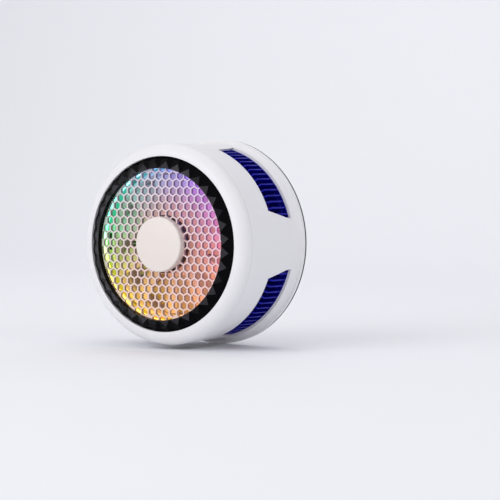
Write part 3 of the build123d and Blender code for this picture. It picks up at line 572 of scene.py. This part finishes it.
def grille_tree():
    """A round sheet with an opening, pierced by pointed-top hexagons in level rows."""
    lengths = (
        "Pitch",
        "Web",
        "Front",
        "Thickness",
        "Sheet radius",
        "Field radius",
        "Cap radius",
        "Opening radius",
    )
    kinds = {**dict.fromkeys(lengths, "NodeSocketFloat"), "Rows": "NodeSocketInt"}
    tree, given, out = new_tree("Hexagon sheet", kinds)

    def value(operation, first, second=0.0):
        return node(tree, "ShaderNodeMath", {0: first, 1: second}, operation).outputs[0]

    def disc(radius, depth):
        size = {"Vertices": around, "Radius": radius, "Depth": depth}
        return node(tree, "GeometryNodeMeshCylinder", size).outputs[0]

    def boolean(operation, base, *others):
        links = {"Mesh 1": base} if base else None
        joined = node(tree, "GeometryNodeMeshBoolean", links, operation, solver="EXACT")
        for other in others:
            tree.links.new(other, joined.inputs["Mesh 2"])
        return joined.outputs[0]

    pitch = given["Pitch"]
    rows = given["Rows"]
    gaps = value("SUBTRACT", rows, 1.0)
    size = {
        "Size X": value("MULTIPLY", gaps, pitch),
        "Size Y": value("MULTIPLY", gaps, value("MULTIPLY", pitch, math.sin(math.pi / 3))),
        "Vertices X": rows,
        "Vertices Y": rows,
    }
    grid = node(tree, "GeometryNodeMeshGrid", size)
    row = value("MODULO", node(tree, "GeometryNodeInputIndex").outputs[0], rows)
    odd = value("MODULO", value("ADD", row, value("DIVIDE", gaps, 2.0)), 2.0)
    shove = node(tree, "ShaderNodeCombineXYZ", {"X": value("MULTIPLY", odd, value("DIVIDE", pitch, 2.0))})
    moved = node(tree, "GeometryNodeSetPosition", {"Geometry": grid.outputs[0], "Offset": shove.outputs[0]})
    place = node(tree, "GeometryNodeInputPosition")
    distance = node(tree, "ShaderNodeVectorMath", {0: place.outputs[0]}, "LENGTH").outputs["Value"]
    too_near = value("LESS_THAN", distance, value("SUBTRACT", given["Cap radius"], mm(reach_under_cap)))
    too_far = value("GREATER_THAN", distance, value("ADD", given["Field radius"], mm(reach_past_field)))
    left_out = {"Geometry": moved.outputs[0], "Selection": value("MAXIMUM", too_near, too_far)}
    kept = node(tree, "GeometryNodeDeleteGeometry", left_out, domain="POINT")

    deep = value("MULTIPLY", given["Thickness"], 3.0)
    cell_radius = value("DIVIDE", value("SUBTRACT", pitch, given["Web"]), 2 * math.cos(math.pi / 6))
    cell = node(tree, "GeometryNodeMeshCylinder", {"Vertices": 6, "Radius": cell_radius, "Depth": deep})
    copies = {"Points": kept.outputs[0], "Instance": cell.outputs[0], "Rotation": (0, 0, math.pi / 6)}
    cells = node(tree, "GeometryNodeInstanceOnPoints", copies)
    real_cells = node(tree, "GeometryNodeRealizeInstances", {"Geometry": cells.outputs[0]})
    field_disc = disc(given["Field radius"], value("MULTIPLY", deep, 0.8))
    field = boolean("INTERSECT", None, real_cells.outputs[0], field_disc)
    clear_of_cap = boolean("DIFFERENCE", field, disc(given["Cap radius"], deep))
    sheet = disc(given["Sheet radius"], given["Thickness"])
    pierced = boolean("DIFFERENCE", sheet, clear_of_cap, disc(given["Opening radius"], deep))

    middle = value("SUBTRACT", value("DIVIDE", given["Thickness"], 2.0), given["Front"])
    stand = node(tree, "ShaderNodeCombineXYZ", {"Y": middle})
    turn = {"Geometry": pierced, "Translation": stand.outputs[0], "Rotation": (math.pi / 2, 0, 0)}
    upright = node(tree, "GeometryNodeTransform", turn)
    real = node(tree, "GeometryNodeRealizeInstances", {"Geometry": upright.outputs[0]})
    return finish_tree(tree, real.outputs[0], given["Finish"], out)


round_the_axis = ring_tree()


def copies_of(piece, finish, count, start=0.0, window_angles=(-1, 180)):
    """Copies of the piece round the axis, at angles from the nearest window within two bounds, in degrees."""
    near, far = window_angles
    sizes = {
        "Copies": count,
        "Start angle": math.radians(start),
        "From window": math.radians(near),
        "To window": math.radians(far),
    }
    return run(piece, round_the_axis, finish, sizes)


# Pieces


def place_on(piece, body, slot, *stands_for):
    """The piece moves with the body and hides the nodes it stands for. The slot is not used."""
    if stands_for:
        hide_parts(*stands_for)
    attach(piece, body)


def front_bezel():
    """White ring: a quarter round, a narrow lip round the facet ring, the seam's edge and a spigot behind."""
    corner = bezel_radius - lip_radius - lip_width
    outline = [
        (spigot_outer_radius, spigot_rear_depth, 0),
        (spigot_outer_radius, seam_depth - spigot_relief, 0),
        (bezel_radius - bezel_inset, seam_depth + seam_gap, 0),
    ]
    for angle in quarter_turn:
        radius = lip_radius + lip_width + corner * math.cos(angle)
        outline.append((radius, lip_depth - corner + corner * math.sin(angle), 0))
    outline += [
        (lip_radius, lip_depth, lip_round),
        (lip_radius, ledge_depth, 0),
        (ledge_radius, ledge_depth, 0),
        (ledge_radius, seam_depth, 0),
        (spigot_inner_radius, seam_depth, 0),
        (spigot_inner_radius, spigot_rear_depth, 0),
    ]
    ring = turned("Front_bezel", outline, shell_white, edge_round)
    place_on(ring, "case", "white_shell", "front_bezel")


def window_block(bm, direction):
    """What a window takes away: slanted ends, and a sill that falls outward."""
    inner_radius, outer_radius = window_cut_radii
    steps = 32
    section = [
        (inner_radius, sill_depth),
        (bore_radius, sill_depth),
        (sill_edge_radius, sill_depth - sill_fall),
        (outer_radius, sill_depth - sill_fall),
        (outer_radius, window_front_depth),
        (inner_radius, window_front_depth),
    ]
    out = Vector((math.sin(direction), 0, math.cos(direction)))
    along = Vector((math.cos(direction), 0, -math.sin(direction)))
    slices = []
    for step in range(steps + 1):
        across = -1 + 2 * step / steps
        places = []
        for radius, depth in section:
            height_share = (depth - window_rear_depth) / (window_front_depth - window_rear_depth)
            side = across * (window_half_width - window_narrowing * height_share)
            reach = math.sqrt(radius * radius - side * side)
            places.append(out * reach + along * side - Vector((0, depth, 0)))
        slices.append(places)
    prism(bm, slices)


def inlet_block(bm):
    """What the power inlet takes away: a long hole with round ends, up from below the fan."""
    outline = []
    for side, start in ((1, -math.pi / 2), (-1, math.pi / 2)):
        for step in range(17):
            angle = start + math.pi * step / 16
            across = inlet_half_span * side + inlet_end_radius * math.cos(angle)
            outline.append((across, -inlet_depth - inlet_end_radius * math.sin(angle)))
    prism(bm, [[(x, y, height) for x, y in outline] for height in inlet_heights])


def housing():
    """White side wall that flares into the rear flange, with its windows, inlet and button's hole."""
    outline = [(bezel_radius, seam_depth, front_round)]
    for angle in quarter_turn:
        radius = waist_radius + (flange_radius - waist_radius) * (1 - math.cos(angle))
        outline.append((radius, waist_depth + (rim_depth - waist_depth) * math.sin(angle), 0))
    outline += [
        (flange_radius, pad_thickness, flange_round),
        (cover_radius, pad_thickness, edge_round),
        (cover_radius, cover_front_depth, 0),
        (bore_radius, cover_front_depth, 0),
        (bore_radius, rib_rear_depth, 0),
        (rib_radius, rib_rear_depth, 0),
        (rib_radius, rib_front_depth, 0),
        (bore_radius, rib_front_depth, 0),
        (bore_radius, seat_depth, 0),
        (seat_radius, seat_depth, 0),
        (seat_radius, seam_depth, 0),
    ]
    wall = turned("Housing", outline, side_white_painted_lamp_light, edge_round)
    openings = bmesh.new()
    for index in range(4):
        window_block(openings, math.pi / 4 + math.pi / 2 * index)
    inlet_block(openings)
    hole_place = Matrix.Translation((-mm(waist_radius), -mm(button_depth), 0))
    bmesh.ops.create_cone(
        openings,
        cap_ends=True,
        segments=48,
        radius1=mm(button_hole_radius),
        radius2=mm(button_hole_radius),
        depth=mm(button_hole_length),
        matrix=hole_place @ Matrix.Rotation(math.pi / 2, 4, "Y"),
    )
    cutter = made("Openings", openings, side_white_painted_lamp_light)
    cut = wall.modifiers.new("Openings", "BOOLEAN")
    cut.object = cutter
    cut.solver = "EXACT"
    bevel(wall, width=0.28, segments=3, angle=40)
    freeze(wall)
    settle(wall.data, 35)
    bpy.data.objects.remove(cutter)
    place_on(wall, "case", "white_shell", "housing")


def facet_ring():
    """Black ring: flat triangles on a cone, between grooves that sink outward, one beside each."""
    width = facet_outer_radius - facet_inner_radius
    apex_reach = facet_apex_radius - facet_inner_radius
    cone_slope = (crown_depth - lip_depth + facet_rim_drop) / width
    groove_slope = cone_slope + groove_sink / width
    half = math.pi / facet_count
    apex_depth = crown_depth - cone_slope * apex_reach
    rise_at_apex = groove_sink * apex_reach / width
    rise_rate = rise_at_apex / (facet_apex_radius * math.sin(half))
    ridge_depth = crown_depth - groove_slope * (facet_outer_radius * math.cos(half) - facet_inner_radius)
    ridge_depth += rise_rate * facet_outer_radius * math.sin(half)
    groove_depth = crown_depth - groove_slope * width
    rear_steps = [
        (facet_inner_radius, crown_depth),
        (facet_inner_radius, grille_front_depth),
        (facet_neck_radius, grille_front_depth),
        (facet_neck_radius, ledge_depth),
        (facet_outer_radius, ledge_depth),
    ]
    black, lit, dim = range(3)
    bm = bmesh.new()

    def facet(kind, *places):
        face = bm.faces.new([bm.verts.new(spot(*place)) for place in places])
        face.material_index = kind

    for index in range(facet_count):
        start = math.pi / 2 + index * 2 * half
        angles = [start + half * k / 2 for k in range(5)]
        inner = [(facet_inner_radius, crown_depth, angle) for angle in angles]
        rear = [(facet_outer_radius, ledge_depth, angle) for angle in angles]
        apex = (facet_apex_radius, apex_depth, start + half)
        ridge = (facet_outer_radius, ridge_depth, start + half)
        low_start = (facet_outer_radius, groove_depth, start)
        low_end = (facet_outer_radius, groove_depth, start + 2 * half)
        # Some triangles take painted light, the others painted shade; the shaded ones come unevenly
        facet(lit if index * index % 7 < 3 else dim, *inner, apex)
        facet(black, inner[0], apex, ridge, low_start)
        facet(black, inner[-1], low_end, ridge, apex)
        for first, second in zip(angles, angles[1:]):
            for near, far in zip(rear_steps, rear_steps[1:]):
                facet(black, (*near, first), (*far, first), (*far, second), (*near, second))
        facet(black, *rear, low_end, ridge, low_start)
    bmesh.ops.remove_doubles(bm, verts=bm.verts, dist=1e-6)
    ring = made("Facet_ring", bm, facet_black, facet_painted_light, facet_painted_shade, angle=3)
    bevel(ring, width=0.05, segments=1, angle=4)
    freeze(ring)
    settle(ring.data, 3)
    place_on(ring, "case", "black_gloss", "facet_ring")


def hexagon_grille():
    """White sheet of hexagons, with fine rounds at the cells; the walls inside the cells are painted greyer
    as shade.
    """
    sheet = bpy.data.objects.new("Hexagon_grille", bpy.data.meshes.new("Hexagon_grille"))
    bpy.context.collection.objects.link(sheet)
    sizes = {
        "Pitch": mm(cell_pitch),
        "Web": mm(web_width),
        "Front": mm(grille_front_depth),
        "Thickness": mm(grille_thickness),
        "Sheet radius": mm(grille_radius),
        "Field radius": mm(grille_field_radius),
        "Cap radius": mm(grille_cap_radius),
        "Opening radius": mm(grille_opening_radius),
        "Rows": cell_rows,
    }
    run(sheet, grille_tree(), grille_white, sizes)
    bevel(sheet, width=0.09, segments=2, angle=50)
    freeze(sheet)
    sheet.data.materials.append(cell_wall_painted_shade)
    # Faces that stand across the sheet are the cells' walls: they take the painted shade
    for face in sheet.data.polygons:
        if abs(face.normal.y) < 0.3:
            face.material_index = len(sheet.data.materials) - 1
    settle(sheet.data, 40)
    place_on(sheet, "case", "grille_white", "hex_grille")


def hub_cap():
    """Round cap on the grille's front, hollow behind."""
    outline = [
        (0, cap_depth, 0),
        (cap_radius, cap_depth, cap_round),
        (cap_radius, grille_front_depth, fine_round),
        (cap_inner_radius, grille_front_depth, 0),
        (cap_inner_radius, cap_recess_depth, 0),
        (0, cap_recess_depth, 0),
    ]
    place_on(turned("Hub_cap", outline, cap_white, edge_round), "case", "cap_white", "hub_cap")


def fins(name, outline, window_angles, foot=None):
    """The fins at some angles from the nearest window, with feet that join where a foot is given."""
    form = bmesh.new()
    sections = []
    for x in (-fin_thickness / 2, fin_thickness / 2):
        sections.append([(x, -depth, radius) for radius, depth in outline])
    prism(form, sections)
    bmesh.ops.recalc_face_normals(form, faces=form.faces)
    bmesh.ops.bevel(form, geom=form.edges, offset=mm(fin_edge), segments=1, affect="EDGES")
    if foot:
        inner, outer, rear, front = foot
        slant = math.tan(math.pi / fin_count)
        corners = [(inner, -slant), (outer, -slant), (outer, slant), (inner, slant)]
        sections = []
        for depth in (rear, front):
            sections.append([(radius * share, -depth, radius) for radius, share in corners])
        prism(form, sections)
    return copies_of(made(name, form, fin_blue_painted_lamp_light), fin_blue_painted_lamp_light, fin_count, window_angles=window_angles)


def heatsink():
    """Blue fins on a round base, longer ones with a foot in the windows, and the four posts."""
    inside = [
        (fin_inner_radius, fin_rear_depth),
        (fin_inner_radius, core_front_depth),
        (fin_slope_radius, fin_front_depth),
        (fin_shoulder_radius, fin_front_depth),
    ]
    hidden_end = [(hidden_fin_radius, hidden_fin_corner_depth), (hidden_fin_radius, fin_rear_depth)]
    hidden = fins("Heatsink_fins", inside + hidden_end, (30, 90))
    place_on(hidden, "case", "blue_fins", "heatsink")
    window_end = [
        (window_fin_radius, window_fin_corner_depth),
        (window_fin_radius, fin_toe_depth),
        (fin_toe_radius, fin_toe_depth),
        (fin_toe_radius, fin_rear_depth),
    ]
    foot = (foot_inner_radius, foot_outer_radius, foot_rear_depth, foot_front_depth)
    shown = fins("Heatsink_window_fins", inside + window_end, (-1, 30), foot)
    place_on(shown, "case", "blue_fins")
    base_outline = [
        (0, base_rear_depth),
        (base_radius, base_rear_depth),
        (base_radius, base_front_depth),
        (core_radius, base_front_depth),
        (core_radius, core_front_depth, core_round),
        (boss_radius, core_front_depth),
        (boss_radius, boss_front_depth, boss_round),
        (0, boss_front_depth),
    ]
    place_on(turned("Heatsink_base", base_outline, fin_blue_painted_lamp_light, fine_round), "case", "blue_fins")
    post_outline = [
        (0, post_rear_depth),
        (post_radius, post_rear_depth, edge_round),
        (post_radius, rib_rear_depth, edge_round),
        (0, rib_rear_depth),
    ]
    post = turned("Heatsink_posts", post_outline, fin_blue_painted_lamp_light, fine_round, steps=32)
    for corner in post.data.vertices:
        corner.co.z += mm(post_circle_radius)
    place_on(copies_of(post, fin_blue_painted_lamp_light, 4, start=45), "case", "blue_fins")


def impeller_hub():
    """The impeller's cup, with the boss that holds the shaft."""
    outline = [
        (0, hub_boss_depth),
        (hub_boss_radius, hub_boss_depth),
        (hub_boss_radius, hub_web_depth),
        (hub_inner_radius, hub_web_depth),
        (hub_inner_radius, hub_rear_depth),
        (hub_radius, hub_rear_depth, edge_round),
        (hub_radius, hub_front_depth, hub_round),
        (0, hub_front_depth),
    ]
    hub = turned("Impeller_hub", outline, blade_milk_painted_lamp_light, fine_round)
    place_on(hub, "rotor", "blade_plastic", "impeller")


def impeller_blades():
    """Curved blades: each a skin over cambered sections that turn and grow outward."""
    spans, chords = 14, 16
    bm = bmesh.new()
    sides = ([], [])
    for i in range(spans + 1):
        radius = blade_start_radius + (blade_tip_radius - blade_start_radius) * i / spans
        share = (radius - twist_start_radius) / (twist_end_radius - twist_start_radius)
        chord = blade_chords[0] + (blade_chords[1] - blade_chords[0]) * share
        pitch = math.radians(blade_pitches[0] + (blade_pitches[1] - blade_pitches[0]) * share)
        along = Vector((math.cos(pitch), math.sin(pitch)))
        up = Vector((-math.sin(pitch), math.cos(pitch)))
        rows = ([], [])
        for j in range(chords + 1):
            t = -1 + 2 * j / chords
            bow = chord * blade_camber_share * (1 - t * t)
            thick = blade_half_thickness * math.sqrt(max(0.0, 1 - t ** 4)) + blade_edge
            for row, sign in zip(rows, (1, -1)):
                flat = along * (t * chord / 2) + up * (bow + sign * thick)
                depth = min(blade_front_depth, max(blade_rear_depth, blade_middle_depth + flat.y))
                reach = math.sqrt(max(0.0, radius * radius - flat.x * flat.x))
                row.append(bm.verts.new(mm(Vector((reach, -depth, flat.x)))))
        for side, row in zip(sides, rows):
            side.append(row)
    for grid in sides:
        for i in range(spans):
            for j in range(chords):
                bm.faces.new((grid[i][j], grid[i + 1][j], grid[i + 1][j + 1], grid[i][j + 1]))
    face, back = sides
    for i in range(spans):
        for j in (0, chords):
            bm.faces.new((face[i][j], face[i + 1][j], back[i + 1][j], back[i][j]))
    for i in (0, spans):
        for j in range(chords):
            bm.faces.new((face[i][j], face[i][j + 1], back[i][j + 1], back[i][j]))
    blades = copies_of(made("Impeller_blades", bm, blade_milk_painted_lamp_light, angle=50), blade_milk_painted_lamp_light, blade_count)
    settle(blades.data, 50)
    place_on(blades, "rotor", "blade_plastic")


def contact_pad():
    """Dark ring against the phone: soft, so that it bulges a little towards the flange's edge."""
    outline = [
        (pad_inner_radius, 0, edge_round),
        (flange_radius - pad_inset - pad_bulge, 0, edge_round),
        (flange_radius - pad_inset, pad_thickness / 2, pad_bulge_round),
        (flange_radius - pad_front_inset, pad_thickness, 0),
        (pad_inner_radius, pad_thickness, 0),
    ]
    place_on(turned("Contact_pad", outline, pad_black, fine_round), "case", "soft_pad", "contact_pad")


front_bezel()
housing()
facet_ring()
hexagon_grille()
hub_cap()
heatsink()
impeller_hub()
impeller_blades()
contact_pad()

# Finishes of the solids that keep their own shapes; some carry painted lamp light or painted shade
finishes = {
    "light_guide": lamp_guide,
    "leds": lamp_cell,
    "led_board": board_lit,
    "led_screws": screw_zinc,
    # The collar's dark finish is painted shade: it darkens the cells where the cap's shadow falls
    "cap_collar": dark_plastic_and_painted_shade,
    "fan_frame": frame_plastic_painted_lamp_light,
    "bearing_tube": brass,
    "sleeve_bearing": brass,
    "thrust_pad": slide_white,
    "stator_core": core_steel,
    "stator_coils": copper,
    "driver_board": board_green,
    "rotor_shaft": shaft_steel,
    "rotor_yoke": core_steel,
    "rotor_magnet": bonded_grey,
    "retaining_ring": slide_white,
    "main_board": board_lit,
    "usb_c_socket": nickel,
    "mode_button": side_white_painted_lamp_light,
    "button_switch": dark_plastic_and_painted_shade,
    "switch_stem": slide_white,
    "fan_screws": screw_zinc,
    "rear_screws": screw_zinc,
    "peltier_module": ceramic,
    "insulation_ring": foam,
    "cold_plate": plate_metal,
    "magnets": nickel,
    "backing_ring": core_steel,
    "rear_cover": shell_white,
}
for name, finish in finishes.items():
    mesh = nodes[name].data
    mesh.materials.clear()
    mesh.materials.append(finish)


# Floor, light and camera


def floor_and_backdrop():
    """A pale floor that bends up into the backdrop behind the fan."""
    paint = bpy.data.materials.new("Floor, pale")
    paint.use_nodes = True
    skin = paint.node_tree.nodes["Principled BSDF"]
    skin.inputs["Base Color"].default_value = tone(243, 244, 248)
    skin.inputs["Roughness"].default_value = 0.8
    skin.inputs["Specular IOR Level"].default_value = 0.2
    front, bend_start, bend_radius, top, half_width, gap = -900, 350, 250, 1500, 1800, 0.05
    height = -(flange_radius + gap)
    profile = [(front, height), (bend_start, height)]
    for step in range(1, 13):
        angle = math.pi / 2 * step / 12
        rise = bend_radius * (1 - math.cos(angle))
        profile.append((bend_start + bend_radius * math.sin(angle), height + rise))
    profile.append((bend_start + bend_radius, top))
    bm = bmesh.new()
    lines = []
    for x in (-half_width, half_width):
        lines.append([bm.verts.new(mm(Vector((x, y, z)))) for y, z in profile])
    left, right = lines
    for k in range(len(profile) - 1):
        bm.faces.new((left[k], right[k], right[k + 1], left[k + 1]))
    mesh = bpy.data.meshes.new("Floor and backdrop")
    bm.to_mesh(mesh)
    bm.free()
    mesh.materials.append(paint)
    mesh.shade_smooth()
    backdrop = bpy.data.objects.new("Floor and backdrop", mesh)
    bpy.context.collection.objects.link(backdrop)


def studio_light():
    """An even world, paler where the camera or a reflection sees it."""
    world = bpy.data.worlds.new("Studio")
    world.use_nodes = True
    tree = world.node_tree
    sky = tree.nodes["Background"]
    sky.inputs["Color"].default_value = (0.98, 0.98, 1.0, 1)
    path = node(tree, "ShaderNodeLightPath").outputs
    seen = path["Is Camera Ray"]
    for kind in ("Is Glossy Ray", "Is Transmission Ray"):
        seen = node(tree, "ShaderNodeMath", {0: seen, 1: path[kind]}, "MAXIMUM").outputs[0]
    strength = node(tree, "ShaderNodeMapRange", {"Value": seen, "To Min": 0.61, "To Max": 0.82})
    tree.links.new(strength.outputs["Result"], sky.inputs["Strength"])
    bpy.context.scene.world = world


def lamp(name, place, aim, size, power):
    """A soft square lamp that points at a spot, all in metres and watts."""
    light = bpy.data.lights.new(name, "AREA")
    light.shape = "SQUARE"
    light.size = size
    light.energy = power
    body = bpy.data.objects.new(name, light)
    body.location = place
    body.rotation_euler = (Vector(aim) - Vector(place)).to_track_quat("-Z", "Y").to_euler()
    bpy.context.collection.objects.link(body)


def camera_as_photographed():
    """The camera at the photograph's angle, distance and roll."""
    picture_width, focal_length, distance = 500, 2141, 653.3
    target = Vector((10.6, 0, -2.48))
    azimuth, elevation, roll = math.radians(34.0), math.radians(2.34), math.radians(0.1)
    level = math.cos(elevation)
    back = Vector((math.sin(azimuth) * level, -math.cos(azimuth) * level, math.sin(elevation)))
    right = Vector((0, 0, 1)).cross(back).normalized()
    up = back.cross(right)
    right, up = (
        right * math.cos(roll) + up * math.sin(roll),
        up * math.cos(roll) - right * math.sin(roll),
    )
    lens = bpy.data.cameras.new("Camera")
    lens.sensor_width = 36.0
    lens.lens = lens.sensor_width * focal_length / picture_width
    lens.clip_start = 0.01
    camera = bpy.data.objects.new("Camera", lens)
    place = mm(target + back * distance)
    camera.matrix_world = Matrix.Translation(place) @ Matrix((right, up, back)).transposed().to_4x4()
    bpy.context.collection.objects.link(camera)
    bpy.context.scene.camera = camera


floor_and_backdrop()
studio_light()
middle = (0, -0.02, 0)
lamp("Key", (-0.25, -0.75, 0.40), middle, 0.60, 1.8)
lamp("Low fill", (-0.10, -0.70, -0.02), middle, 0.50, 1.35)
lamp("Side", (0.75, -0.15, 0.35), middle, 0.40, 0.72)
lamp("Top", (0.0, 0.05, 0.80), middle, 0.50, 0.9)
lamp("Backdrop", (-0.35, 0.22, 0.50), (-0.22, 0.58, 0.10), 0.40, 0.3)
camera_as_photographed()
bpy.context.scene.view_settings.view_transform = "Standard"
